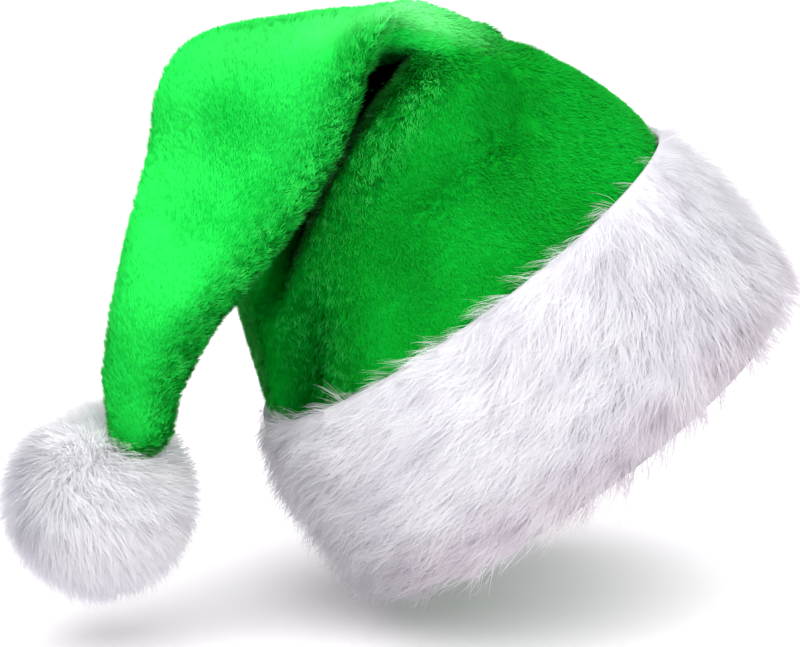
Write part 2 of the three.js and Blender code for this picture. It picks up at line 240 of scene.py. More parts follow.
# the slit beside the tail and its right lip: station, angle and depth along each
slit = {
    "path": [
        (2.09, 279, -0.6),
        (1.99, 272, -1.05),
        (1.9, 266, -1.15),
        (1.82, 262, -1.15),
        (1.74, 256, -1.0),
        (1.64, 246, -0.75),
        (1.52, 235, -0.5),
        (1.38, 221, -0.3),
    ],
    "reach": 0.055,
    "spread": 6.8,
    "steepness": 2,
}
slitLip = {
    "path": [
        (2.4, 314, 0.1),
        (2.15, 305, 0.2),
        (2.02, 296, 0.32),
        (1.93, 288, 0.4),
        (1.85, 281, 0.4),
        (1.76, 274, 0.3),
        (1.66, 265, 0.15),
    ],
    "reach": 0.13,
    "spread": 12,
    "steepness": 1,
}

# painted shade: how dark the cloth is painted down in the slit and in the valley at the crown's low edge
slitShade = {
    "path": [
        (2.2, 284, 0.9),
        (2.09, 279, 1.0),
        (1.99, 272, 1.0),
        (1.9, 266, 1.0),
        (1.82, 263, 1.0),
        (1.74, 257, 1.0),
        (1.64, 247, 0.95),
        (1.52, 236, 0.8),
        (1.38, 222, 0.6),
        (1.25, 214, 0.3),
    ],
    "reach": 0.06,
    "spread": 7,
    "edge": (0.5, 1.15),
}
edgeShade = {
    "path": [(1.42, 238, 0.1), (1.26, 230, 0.5), (1.02, 216, 0.65)],
    "reach": 0.12,
    "spread": 14,
    "edge": (0.2, 1.4),
}

# where the pile stands in tufts, some of them with painted shade and painted highlights: round the slit,
# down the tail's right edge, low on the crown
fuzzLines = (
    {
        "path": [(2.2, 300, 0.6), (1.98, 288, 1.0), (1.85, 279, 1.0), (1.65, 264, 0.8), (1.4, 242, 0.4)],
        "reach": 0.09,
        "spread": 12,
        "edge": (0.4, 1.6),
    },
    {
        "path": [(2.62, 358, 0.2), (2.8, 15, 0.8), (3.1, 20, 1.0), (3.5, 25, 1.0), (3.95, 30, 0.8)],
        "reach": 0.2,
        "spread": 36,
        "edge": (0.3, 1.4),
    },
    {
        "path": [(1.35, 238, 0.8), (1.05, 225, 0.9)],
        "reach": 0.15,
        "spread": 12,
        "edge": (0.3, 1.5),
    },
)

# painted highlight along the crest over the fold
crestHighlightLines = (
    {
        "path": [(2.7, 90, 0.1), (2.6, 55, 0.4), (2.53, 20, 1.0), (2.36, 0, 1.0), (2.15, 345, 0.4)],
        "reach": 0.17,
        "spread": 26,
        "edge": (0.2, 1.5),
    },
)

tilt = math.radians(hatForm["wearTilt"])
turn = math.radians(hatForm["ridgeTurn"])
rise = math.radians(hatForm["ridgeRise"])
crownAxis = np.array((-math.sin(tilt), 0, math.cos(tilt)))
frontAxis = np.array((math.cos(tilt), 0, math.sin(tilt)))
ridgeAxis = np.array((
    math.cos(turn) * math.cos(rise),
    -math.sin(turn) * math.cos(rise),
    math.sin(rise),
))
foldFront = np.array((-math.sin(turn), -math.cos(turn), 0))
foldUp = np.cross(foldFront, ridgeAxis)
leaning = math.radians(hatForm["tailLeaning"])
tailTurn = math.radians(hatForm["tailTurn"])
tailSlope = math.radians(hatForm["tailSlope"])
tailAxis = np.array((-math.sin(leaning), 0, -math.cos(leaning)))
tailWide = np.array((
    math.cos(tailTurn) * math.cos(tailSlope),
    -math.sin(tailTurn) * math.cos(tailSlope),
    -math.sin(tailSlope),
))
rimWall = hatForm["leafThickness"] + hatForm["fitGap"] + hatForm["plushThickness"]
rimHalfLength = hatForm["headLength"] / 2 + rimWall
rimHalfBreadth = hatForm["headBreadth"] / 2 + rimWall
seamCentre = crownAxis * hatForm["cuffHeight"]
tunnel = np.array((
    seamCentre[0] - hatForm["headLength"] * hatForm["tunnelBack"],
    -hatForm["headBreadth"] * hatForm["tunnelFront"],
    seamCentre[2] + hatForm["crownHeight"] - hatForm["foldHollow"] - hatForm["foldThickness"],
))
tipCentre = np.array((
    tunnel[0] - hatForm["tailSwing"],
    -hatForm["headBreadth"] * hatForm["tipFront"],
    tunnel[2] - hatForm["tailDrop"],
))


def readColumn(rows, column, at):
    # one column of a table, as a smooth curve through its rows
    end = len(rows) - 1
    i = 0
    while i < end - 1 and at > rows[i + 1][0]:
        i += 1

    def slope(k):
        low, high = rows[max(k - 1, 0)], rows[min(k + 1, end)]
        return (high[column] - low[column]) / (high[0] - low[0])

    span = rows[i + 1][0] - rows[i][0]
    t = min(max((at - rows[i][0]) / span, 0), 1)
    ease = t * t * (3 - 2 * t)
    bow = span * t * (1 - t) * ((1 - t) * slope(i) - t * slope(i + 1))
    return rows[i][column] * (1 - ease) + rows[i + 1][column] * ease + bow


def bend(start, startAxis, end, endAxis, share):
    reach = np.linalg.norm(end - start) * hatForm["bendReach"]
    leave, arrive = start + startAxis * reach, end - endAxis * reach
    back = 1 - share
    return (
        start * back**3
        + leave * 3 * back**2 * share
        + arrive * 3 * back * share**2
        + end * share**3
    )


def foldCentre(angle):
    radius = hatForm["foldHollow"] + hatForm["foldThickness"] / 2
    return tunnel + (-foldFront * math.cos(angle) + foldUp * math.sin(angle)) * radius


def clothSection(at):
    # centre, normal, wide axis, half sizes, exponent and slide at a station
    halfLength = rimHalfLength - hatForm["seamTaper"]
    halfBreadth = rimHalfBreadth - hatForm["seamTaper"]
    ridge = hatForm["ridgeWidth"]
    if at <= 1:
        wide = rimHalfLength + (halfLength - rimHalfLength) * at
        deep = rimHalfBreadth + (halfBreadth - rimHalfBreadth) * at
        return crownAxis * at * hatForm["cuffHeight"], crownAxis, frontAxis, wide, deep, 2, 0
    if at <= 2:
        share = at - 1
        wideShare = readColumn(crownSections, 1, at)
        deepShare = readColumn(crownSections, 2, at)
        return (
            bend(seamCentre, crownAxis, foldCentre(0), foldUp, share),
            unit(crownAxis * (1 - share) + foldUp * share),
            unit(frontAxis * (1 - share) + ridgeAxis * share),
            ridge / 2 + (halfLength - ridge / 2) * wideShare,
            hatForm["foldThickness"] / 2 + (halfBreadth - hatForm["foldThickness"] / 2) * deepShare,
            readColumn(crownSections, 3, at),
            ridge * readColumn(crownSections, 4, at),
        )
    sizes = (
        ridge / 2 * readColumn(tailSections, 1, at),
        hatForm["tailDepth"] / 2 * readColumn(tailSections, 2, at),
        readColumn(tailSections, 3, at),
        ridge * readColumn(tailSections, 4, at),
    )
    if at <= 3:
        angle = (at - 2) * math.pi
        normal = foldFront * math.sin(angle) + foldUp * math.cos(angle)
        return (foldCentre(angle), normal, ridgeAxis, *sizes)
    share = at - 3
    return (
        bend(foldCentre(math.pi), -foldUp, tipCentre, tailAxis, share),
        unit(-foldUp * (1 - share) + tailAxis * share),
        unit(ridgeAxis * (1 - share) + tailWide * share),
        *sizes,
    )


def turnBetween(angles, start):
    return (angles - start + 180) % 360 - 180


def foldRelief(at, angles):
    # how far folds, dents and the slit move the cloth out at a station
    turns = np.degrees(angles)
    relief = np.zeros(len(angles))
    for fromAt, fromRound, toAt, toRound, reach, spread, depth in clothFolds:
        relief += pathRelief(
            at, turns, [(fromAt, fromRound, depth), (toAt, toRound, depth)], reach, spread, 1
        )
    for line in (slit, slitLip):
        relief += pathRelief(
            at, turns, line["path"], line["reach"], line["spread"], line["steepness"]
        )
    return relief * hatForm["foldThickness"] * smooth(at, 1, 1.1)


def nearestOn(at, turns, path, reach, spread):
    # squared distance to the nearest place on a path, and the path's depth there
    nearest = np.full(len(turns), 1e9)
    depth = np.zeros(len(turns))
    for (fromAt, fromRound, fromDepth), (toAt, toRound, toDepth) in zip(path[:-1], path[1:]):
        run = np.array(((toAt - fromAt) / reach, turnBetween(toRound, fromRound) / spread))
        here = np.stack(
            (np.full(len(turns), (at - fromAt) / reach), turnBetween(turns, fromRound) / spread), 1
        )
        share = np.clip(here @ run / (run @ run), 0, 1)
        away = ((here - share[:, None] * run) ** 2).sum(1)
        closer = away < nearest
        nearest[closer] = away[closer]
        depth[closer] = (fromDepth + (toDepth - fromDepth) * share)[closer]
    return nearest, depth


def pathRelief(at, turns, path, reach, spread, steepness):
    nearest, depth = nearestOn(at, turns, path, reach, spread)
    return depth * np.exp(-(nearest**steepness))


def nearLines(at, angles, lines):
    # 1 on some lines' paths and 0 on the open cloth
    share = np.zeros(len(angles))
    for line in lines:
        nearest, depth = nearestOn(
            at, np.degrees(angles), line["path"], line["reach"], line["spread"]
        )
        share = np.maximum(share, depth * (1 - smooth(np.sqrt(nearest), *line["edge"])))
    return share


def clothRing(at, angles, offset):
    centre, normal, wideAxis, wide, deep, square, slide = clothSection(at)
    wideWay = unit(wideAxis - normal * (wideAxis @ normal))
    deepWay = np.cross(normal, wideWay)
    c, s = np.cos(angles), np.sin(angles)
    power = 2 / square
    across = np.sign(c) * np.abs(c) ** power * (wide + offset) + slide
    through = np.sign(s) * np.abs(s) ** power * (deep + offset)
    outward = unit(wideWay * (c / wide)[:, None] + deepWay * (s / deep)[:, None])
    ring = centre + wideWay * across[:, None] + deepWay * through[:, None]
    return ring + outward * foldRelief(at, angles)[:, None]


def ringAngles(count):
    # columns stand closer beside the slit than at the back
    angles = 2 * math.pi * np.arange(count) / count
    return angles + hatForm["columnCrowding"] * np.cos(angles)


def loftFaces(rings, columns, loop=False):
    faces = []
    for i in range(rings if loop else rings - 1):
        here, there = i * columns, (i + 1) % rings * columns
        for j in range(columns):
            k = (j + 1) % columns
            faces.append((here + j, here + k, there + k, there + j))
    return faces


print("hat form ready")

# ---------- cloth, fur and pile share one way of growing hairs

hairShapes = bpy.data.collections.new("hair_shapes")


def makeTuft(name, blades, steps, width, rootSpread, lift, droop, gather, curl, seed):
    # a tuft one unit long that leans along +X and stands up along +Z
    random = np.random.default_rng(seed)
    points, faces, along = [], [], []
    for _ in range(blades):
        root = random.normal(0, rootSpread, 2)
        start = math.radians(lift + random.normal(0, lift * 0.18))
        end = math.radians(droop + random.normal(0, 7))
        sway = random.normal(0, curl)
        twist = random.uniform(-0.5, 0.5)
        length = random.uniform(0.72, 1.08)
        place = np.array((root[0], root[1], -0.02))
        first = len(points)
        for k in range(steps + 1):
            t = k / steps
            lean = start + (end - start) * t
            side = np.array((math.sin(twist * 0.4), math.cos(twist * 0.4), math.sin(twist)))
            side = side / np.linalg.norm(side)
            pull = np.array((0, -root[1] * gather * t * t, 0))
            spot = place + pull + np.array((0, sway * t * t, 0))
            half = width / 2 * (1 - t) ** 0.55 * (0.75 + 0.25 * min(t * 4, 1))
            if k < steps:
                points += [spot - side * half, spot + side * half]
                along += [t, t]
            else:
                points.append(spot)
                along.append(1.0)
            step = length / steps
            place = place + np.array((math.cos(lean), 0, math.sin(lean))) * step
        for k in range(steps):
            a = first + 2 * k
            if k < steps - 1:
                faces.append((a, a + 2, a + 3, a + 1))
            else:
                faces.append((a, a + 2, a + 1))
    obj = hidden(makeObject(name, points, faces))
    store(obj, "rise", along)
    hairShapes.objects.link(obj)
    return obj


def makeHairTree():
    # hairs on a skin: tufts are set out, combed along "comb" and made real
    tree = bpy.data.node_groups.new("grow_hair", "GeometryNodeTree")
    face = tree.interface
    face.new_socket("Geometry", in_out="OUTPUT", socket_type="NodeSocketGeometry")
    face.new_socket("Geometry", in_out="INPUT", socket_type="NodeSocketGeometry")
    for name, kind in (
        ("Density", "NodeSocketFloat"),
        ("Length", "NodeSocketFloat"),
        ("Tousle", "NodeSocketFloat"),
        ("Stray", "NodeSocketFloat"),
        ("Clump", "NodeSocketFloat"),
        ("Seed", "NodeSocketInt"),
        ("Kinds", "NodeSocketInt"),
        ("Shapes", "NodeSocketCollection"),
        ("Finish", "NodeSocketMaterial"),
    ):
        face.new_socket(name, in_out="INPUT", socket_type=kind)
    start = Wire(tree).node("NodeGroupInput")

    def named(name, kind="FLOAT"):
        return start.node("GeometryNodeInputNamedAttribute", {"data_type": kind}, {"Name": name})

    def vector(operation, first, second, third=None):
        values = {0: first, 1: second}
        if third is not None:
            values["Scale"] = third
        return start.node("ShaderNodeVectorMath", {"operation": operation}, values)

    spread = start.node(
        "GeometryNodeDistributePointsOnFaces",
        {"distribute_method": "RANDOM"},
        {
            "Mesh": start,
            "Density": named("thick") * start.out("Density"),
            "Seed": start.out("Seed"),
        },
    )
    where = start.node("GeometryNodeInputPosition")
    swirl = start.node(
        "ShaderNodeTexNoise",
        {"noise_dimensions": "3D"},
        {"Vector": where, "Scale": start.out("Clump"), "Detail": 2.0},
        output="Color",
    )
    swirl = vector("SUBTRACT", swirl, (0.5, 0.5, 0.5))
    swirl = start.node(
        "ShaderNodeVectorMath",
        {"operation": "SCALE"},
        {0: swirl, "Scale": named("tousle") * start.out("Tousle")},
    )
    stray = start.node(
        "FunctionNodeRandomValue",
        {"data_type": "FLOAT_VECTOR"},
        {0: (-1, -1, -1), 1: (1, 1, 1), "Seed": start.out("Seed") + 1},
    )
    stray = start.node(
        "ShaderNodeVectorMath", {"operation": "SCALE"}, {0: stray, "Scale": start.out("Stray")}
    )
    combed = vector("ADD", vector("ADD", named("comb", "FLOAT_VECTOR"), swirl), stray)
    turned = start.node(
        "FunctionNodeAxesToRotation",
        {"primary_axis": "Z", "secondary_axis": "X"},
        {0: spread.out("Normal"), 1: combed},
    )
    size = start.node(
        "FunctionNodeRandomValue",
        {"data_type": "FLOAT"},
        {2: 0.72, 3: 1.15, "Seed": start.out("Seed") + 2},
        output=1,
    )
    size = size * named("reach") * start.out("Length")
    pick = start.node(
        "FunctionNodeRandomValue",
        {"data_type": "INT"},
        {4: 0, 5: start.out("Kinds") - 1, "Seed": start.out("Seed") + 3},
        output=2,
    )
    shapes = start.node(
        "GeometryNodeCollectionInfo",
        values={"Collection": start.out("Shapes"), "Separate Children": True, "Reset Children": True},
    )
    hairs = start.node(
        "GeometryNodeInstanceOnPoints",
        values={
            "Points": spread,
            "Instance": shapes,
            "Pick Instance": True,
            "Instance Index": pick,
            "Rotation": turned,
            "Scale": start.node("ShaderNodeCombineXYZ", values={0: size, 1: size, 2: size}),
        },
    )
    shade = start.node(
        "FunctionNodeRandomValue",
        {"data_type": "FLOAT"},
        {2: 0.0, 3: 1.0, "Seed": start.out("Seed") + 4},
        output=1,
    )
    marked = start.node(
        "GeometryNodeStoreNamedAttribute",
        {"data_type": "FLOAT", "domain": "INSTANCE"},
        {"Geometry": hairs, "Name": "shade", "Value": shade},
    )
    marked = start.node(
        "GeometryNodeStoreNamedAttribute",
        {"data_type": "FLOAT_VECTOR", "domain": "INSTANCE"},
        {"Geometry": marked, "Name": "skinNormal", "Value": spread.out("Normal")},
    )
    real = start.node("GeometryNodeRealizeInstances", values={"Geometry": marked})
    coloured = start.node(
        "GeometryNodeSetMaterial", values={"Geometry": real, "Material": start.out("Finish")}
    )
    start.node("NodeGroupOutput", values={0: coloured})
    return tree


hairTree = makeHairTree()


def softenNormals(mesh, share):
    # hairs shade mostly as the skin under them does, so the coat looks soft
    count = len(mesh.vertices)
    skin = np.zeros(count * 3, np.float32)
    mesh.attributes["skinNormal"].data.foreach_get("vector", skin)
    own = np.zeros(count * 3, np.float32)
    mesh.vertices.foreach_get("normal", own)
    skin, own = skin.reshape(-1, 3), own.reshape(-1, 3)
    own = own * np.sign((own * skin).sum(1, keepdims=True) + 1e-6)
    mesh.attributes.remove(mesh.attributes["skinNormal"])
    mesh.normals_split_custom_set_from_vertices(unit(skin * share + own * (1 - share)))


def growHair(name, skin, shapes, material, settings, softness=0.7):
    # grows hair on a skin and returns it as a plain mesh of its own
    carrier = skin.copy()
    bpy.context.scene.collection.objects.link(carrier)
    modifier = carrier.modifiers.new("hair", "NODES")
    modifier.node_group = hairTree
    inputs = {
        item.name: item.identifier
        for item in hairTree.interface.items_tree
        if item.item_type == "SOCKET" and item.in_out == "INPUT"
    }
    for key, value in settings.items():
        modifier[inputs[key]] = value
    modifier[inputs["Kinds"]] = len(shapes.objects)
    modifier[inputs["Shapes"]] = shapes
    modifier[inputs["Finish"]] = material
    evaluated = carrier.evaluated_get(bpy.context.evaluated_depsgraph_get())
    mesh = bpy.data.meshes.new_from_object(evaluated)
    bpy.data.objects.remove(carrier)
    mesh.name = name
    hair = bpy.data.objects.new(name, mesh)
    bpy.context.scene.collection.objects.link(hair)
    softenNormals(mesh, softness)
    mesh.calc_loop_triangles()
    print(name, len(mesh.loop_triangles), "triangles")
    return hair


def shapeSet(name, count, **settings):
    shapes = bpy.data.collections.new(name)
    for i in range(count):
        obj = makeTuft(f"{name}_{i}", seed=100 + i, **settings)
        shapes.objects.link(obj)
    return shapes


# ---------- finishes


# one green in a shaded copy and a lit copy, then painted highlights for tuft tips and the crest, painted
# shade for tufts and the painted black of the slit
plushColours = {
    "shadedRoot": (0.0002, 0.33, 0.014, 1),
    "shadedTip": (0.002, 0.57, 0.04, 1),
    "litRoot": (0.003, 0.6, 0.055, 1),
    "litTip": (0.035, 0.95, 0.15, 1),
    "tuftHighlight": (0.1, 0.9, 0.2, 1),
    "crest": (0.26, 1.0, 0.36, 1),
    "dark": (0.0, 0.16, 0.01, 1),
    "deep": (0.0, 0.003, 0.001, 1),
}


def makePlush():
    # short green pile, fuzzier on the folds' edges, with painted shade that is black down in the slit
    material, wire = startMaterial("green_plush")
    place = wire.node("ShaderNodeTexCoord", output="Object")

    def read(name):
        return wire.node("ShaderNodeAttribute", {"attribute_name": name}, output="Fac")

    height, shade, nap, fuzz, deep = map(read, ("rise", "shade", "nap", "fuzz", "deep"))
    patches = wire.node(
        "ShaderNodeTexNoise", values={"Vector": place, "Scale": 26.0, "Detail": 3.0}
    ).toward(0.36, 0.64)
    # painted light and shade: the lit copy of the green where nap is 1, the shaded copy where it is 0
    root = nap.blend(plushColours["shadedRoot"], plushColours["litRoot"])
    tip = nap.blend(plushColours["shadedTip"], plushColours["litTip"])
    # painted shade: the pile is darker towards its roots, between the hairs
    colour = (height * 0.45 + patches * 0.55).blend(root, tip)
    # painted highlight along the crest over the fold
    colour = (read("crest") * (0.65 + 0.25 * patches)).blend(colour, plushColours["crest"])
    # painted shade on random tufts of the fuzzy edges, and painted highlights on other tufts' tips
    colour = (shade.toward(0.5, 0.0) * (0.1 + 0.8 * fuzz)).blend(colour, plushColours["dark"])
    colour = (shade.toward(0.55, 1.0) * height * (0.1 + 0.6 * fuzz)).blend(
        colour, plushColours["tuftHighlight"]
    )
    # painted shade: black down in the slit and dark in the crown's low valley
    colour = deep.blend(colour, plushColours["deep"])
    coat = wire.node(
        "ShaderNodeBsdfPrincipled",
        values={
            "Base Color": colour,
            "Roughness": 0.8,
            "Specular IOR Level": 0.06,
            "Sheen Weight": 0.12,
            "Sheen Roughness": 0.35,
            "Sheen Tint": (0.4, 1.0, 0.5, 1),
        },
    )
    glow = wire.node("ShaderNodeBsdfTranslucent", values={"Color": colour})
    soft = wire.node("ShaderNodeMixShader", values={0: 0.3, 1: coat, 2: glow})
    # a dull shader for the painted shade in the slit
    dark = wire.node(
        "ShaderNodeBsdfPrincipled",
        values={"Base Color": colour, "Roughness": 1.0, "Specular IOR Level": 0.0},
    )
    shader = wire.node("ShaderNodeMixShader", values={0: deep.toward(0.02, 0.3), 1: soft, 2: dark})
    endMaterial(wire, shader)
    return material


def makeBacking():
    # the plush's knitted back, with the ribs of its knit
    material, wire = startMaterial("green_backing")
    place = wire.node("ShaderNodeTexCoord", output="UV")
    ribs = wire.node(
        "ShaderNodeTexWave",
        {"wave_type": "BANDS", "bands_direction": "X"},
        {"Vector": place, "Scale": 1.0, "Distortion": 0.4},
        output="Fac",
    )
    fuzz = wire.node(
        "ShaderNodeTexNoise",
        values={"Vector": wire.node("ShaderNodeTexCoord", output="Object"), "Scale": 900.0},
    )
    tone = ribs * 0.6 + fuzz * 0.4
    colour = tone.toward(0.2, 0.8).blend((0.0, 0.22, 0.03, 1), (0.01, 0.42, 0.05, 1))
    bump = wire.node("ShaderNodeBump", values={"Height": tone, "Strength": 0.5, "Distance": 0.0006})
    coat = wire.node(
        "ShaderNodeBsdfPrincipled",
        values={"Base Color": colour, "Roughness": 0.9, "Normal": bump, "Specular IOR Level": 0.2},
    )
    endMaterial(wire, coat)
    return material


# white fur colours; the last two of each are painted shade, for where the fur turns under and for its
# shaded side
furColours = {
    "cuff": {
        "root": (0.88, 0.87, 0.9, 1),
        "tip": (0.95, 0.945, 0.96, 1),
        "soft": (0.78, 0.765, 0.81, 1),
        "warm": (0.64, 0.56, 0.62, 1),
        "dusk": (0.62, 0.61, 0.645, 1),
    },
    "pompom": {
        "root": (0.96, 0.955, 0.97, 1),
        "tip": (0.98, 0.975, 0.99, 1),
        "soft": (0.91, 0.905, 0.94, 1),
        "warm": (0.86, 0.84, 0.89, 1),
        "dusk": (0.70, 0.69, 0.75, 1),
    },
}


def makeFur(name, colours, glowShare):
    # long white fur in drifts, with painted shade: rosy grey where it turns under and grey at its shaded
    # end
    material, wire = startMaterial(name)
    place = wire.node("ShaderNodeTexCoord", output="Object")

    def read(name):
        return wire.node("ShaderNodeAttribute", {"attribute_name": name}, output="Fac")

    def noise(scale, low, high):
        return wire.node(
            "ShaderNodeTexNoise", values={"Vector": place, "Scale": scale, "Detail": 2.0}
        ).toward(low, high)

    # painted shade: the fur is darker towards its roots, between the hairs
    colour = read("rise").toward(0.0, 0.6).blend(colours["root"], colours["tip"])
    colour = (noise(32.0, 0.42, 0.68) * 0.55).blend(colour, colours["soft"])
    colour = (read("shade").toward(0.4, 1.0) * 0.4).blend(colour, (0.98, 0.98, 0.99, 1))
    # painted shade: rosy grey where the fur turns under
    colour = (read("warm") * (0.35 + 0.65 * noise(55.0, 0.35, 0.65))).blend(colour, colours["warm"])
    # painted shade: grey on the fur's shaded side
    colour = (read("dusk") * (0.5 + 0.5 * noise(75.0, 0.35, 0.65))).blend(colour, colours["dusk"])
    coat = wire.node(
        "ShaderNodeBsdfPrincipled",
        values={
            "Base Color": colour,
            "Roughness": 0.6,
            "Specular IOR Level": 0.25,
            "Sheen Weight": 0.1,
        },
    )
    glow = wire.node("ShaderNodeBsdfTranslucent", values={"Color": colour})
    endMaterial(wire, wire.node("ShaderNodeMixShader", values={0: glowShare, 1: coat, 2: glow}))
    return material


def makeLeaf():
    # the cuff's white cloth turned up inside, a fine twill
    material, wire = startMaterial("white_leaf_cloth")
    place = wire.node("ShaderNodeTexCoord", output="UV")
    weave = wire.node(
        "ShaderNodeTexWave",
        {"wave_type": "BANDS", "bands_direction": "DIAGONAL"},
        {"Vector": place, "Scale": 1.0, "Distortion": 0.2},
        output="Fac",
    )
    fuzz = wire.node(
        "ShaderNodeTexNoise",
        values={"Vector": wire.node("ShaderNodeTexCoord", output="Object"), "Scale": 700.0},
    )
    tone = weave * 0.5 + fuzz * 0.5
    colour = tone.toward(0.2, 0.8).blend((0.62, 0.6, 0.64, 1), (0.85, 0.84, 0.87, 1))
    bump = wire.node("ShaderNodeBump", values={"Height": tone, "Strength": 0.4, "Distance": 0.0004})
    coat = wire.node(
        "ShaderNodeBsdfPrincipled",
        values={"Base Color": colour, "Roughness": 0.9, "Normal": bump},
    )
    endMaterial(wire, coat)
    return material


plush = makePlush()
backing = makeBacking()
cuffWhite = makeFur("white_fur", furColours["cuff"], 0.6)
pompomWhite = makeFur("pompom_fur", furColours["pompom"], 0.66)
leafCloth = makeLeaf()
print("finishes ready")

# ---------- crown and tail: the plush cloth

crownCloth = {
    "columns": 156,
    "rows": [(0.04, 1.0, 6), (1.0, 1.5, 16), (1.5, 2.05, 30), (2.05, 3.0, 20), (3.0, 4.0, 38)],
    "pileDepth": 0.0022,
    "pocketEnd": 3.93,
    "litTurn": (1.9, 2.35),
}


def makeCrownCloth():
    settings = crownCloth
    angles = ringAngles(settings["columns"])
    runs = [np.linspace(low, high, rows, endpoint=False) for low, high, rows in settings["rows"]]
    stations = np.concatenate((*runs, (3.99, 4.0)))
    outer = np.array([clothRing(at, angles, -settings["pileDepth"]) for at in stations])
    insideStations = stations[stations <= settings["pocketEnd"]][::-1]
    inner = np.array([clothRing(at, angles, -hatForm["plushThickness"]) for at in insideStations])
    grid = np.concatenate((inner, outer))
    columns = settings["columns"]
    points = grid.reshape(-1, 3)
    faces = loftFaces(len(grid), columns)
    points = np.concatenate((points, [inner[0].mean(0)], [outer[-1].mean(0)]))
    pocket, tip = len(points) - 2, len(points) - 1
    last = (len(grid) - 1) * columns
    for j in range(columns):
        k = (j + 1) % columns
        faces.append((k, j, pocket))
        faces.append((last + j, last + k, tip))
    obj = makeObject("crown_cloth", points, faces)
    obj.data.materials.append(plush)
    obj.data.materials.append(backing)
    insideFaces = len(inner) * columns
    slots = np.zeros(len(faces), int)
    slots[:insideFaces] = 1
    obj.data.polygons.foreach_set("material_index", slots)
    nap = np.zeros_like(grid)
    rows = len(inner)
    nap[rows:] = -np.gradient(outer, axis=0)
    nap = np.concatenate((unit(nap.reshape(-1, 3) + (1e-6, 0, 0)), [(1, 0, 0), (0, 0, -1)]))
    at = np.concatenate((np.repeat(insideStations, columns), np.repeat(stations, columns), (4, 4)))
    outside = np.concatenate((np.zeros(rows * columns), np.ones(len(stations) * columns), (0, 1)))
    store(obj, "comb", nap)
    store(obj, "station", at)
    store(obj, "outside", outside)
    # marks for the slit's painted shade, the fuzzy edges and the crest's painted highlight
    marks = (("deep", (slitShade, edgeShade)), ("fuzz", fuzzLines), ("crest", crestHighlightLines))
    for name, lines in marks:
        shares = [nearLines(row, angles, lines) for row in stations]
        store(obj, name, np.concatenate((np.zeros(rows * columns), *shares, (0, 0))))
    store(obj, "angle", np.concatenate((np.tile(angles, len(grid)), (0, 0))))
    uv = obj.data.uv_layers.new(name="UVMap")
    lengths = np.zeros(len(obj.data.loops), int)
    obj.data.loops.foreach_get("vertex_index", lengths)
    rounds = np.concatenate((np.tile(angles, len(grid)), (0, 0)))
    uv.data.foreach_set("uv", np.stack((rounds[lengths] * 15, at[lengths] * 15), 1).ravel())
    return obj


def makeLitShare(at):
    # painted light: pile that lies towards the light gets the lit copy of the green, over the fold and down
    # the tail's left; the crown, the tail's right edge and its low end get the shaded copy
    angles = np.zeros(len(at), np.float32)
    crownSkin.data.attributes["angle"].data.foreach_get("value", angles)
    rightEdge = smooth(np.cos(angles), 0.0, 0.95) * smooth(at, 2.5, 3.0)
    low = smooth(at, 3.35, 3.9)
    return smooth(at, *crownCloth["litTurn"]) * (1 - 0.7 * rightEdge) * (1 - 0.4 * low)


crownSkin = makeCrownCloth()
at = np.zeros(len(crownSkin.data.vertices), np.float32)
crownSkin.data.attributes["station"].data.foreach_get("value", at)
outside = np.zeros_like(at)
crownSkin.data.attributes["outside"].data.foreach_get("value", outside)
deep = np.zeros_like(at)
crownSkin.data.attributes["deep"].data.foreach_get("value", deep)
fuzz = np.zeros_like(at)
crownSkin.data.attributes["fuzz"].data.foreach_get("value", fuzz)
store(crownSkin, "reach", (1 - 0.5 * deep) * (0.9 + 0.35 * fuzz))
store(crownSkin, "tousle", 0.5 + 0.8 * fuzz)
# painted light: how much of the lit copy of the green each place gets
store(crownSkin, "nap", makeLitShare(at))
store(crownSkin, "rise", np.zeros(len(at)))

pile = {
    "shapes": {
        "blades": 10,
        "steps": 1,
        "width": 0.26,
        "rootSpread": 0.28,
        "lift": 44,
        "droop": 28,
        "gather": 0.5,
        "curl": 0.1,
    },
    "growth": {
        "Density": 400000.0,
        "Length": 0.0031,
        "Tousle": 1.2,
        "Stray": 0.35,
        "Clump": 150.0,
        "Seed": 11,
    },
    "softness": 0.9,
}
pileShapes = shapeSet("pile_tuft", 6, **pile["shapes"])
pieces = {}
for name, low, high in (
    ("crown_pile", 0.93, 1.6),
    ("ridge_pile", 1.6, 2.6),
    ("tail_pile", 2.6, 4.1),
):
    part = crownSkin.copy()
    part.data = crownSkin.data.copy()
    store(part, "thick", outside * (at >= low) * (at < high))
    pieces[name] = growHair(name, part, pileShapes, plush, pile["growth"], pile["softness"])
    bpy.data.objects.remove(part)
print("plush ready")

# ---------- cuff: a fur band round the rim, with a plain leaf turned up inside

cuffBand = {
    "columns": 168,
    "profile": [(1.02, 0.15), (0.95, 0.42), (0.8, 0.5), (0.5, 0.52), (0.2, 0.5), (0.05, 0.35)],
    "fold": (-0.02, 0.0),
}


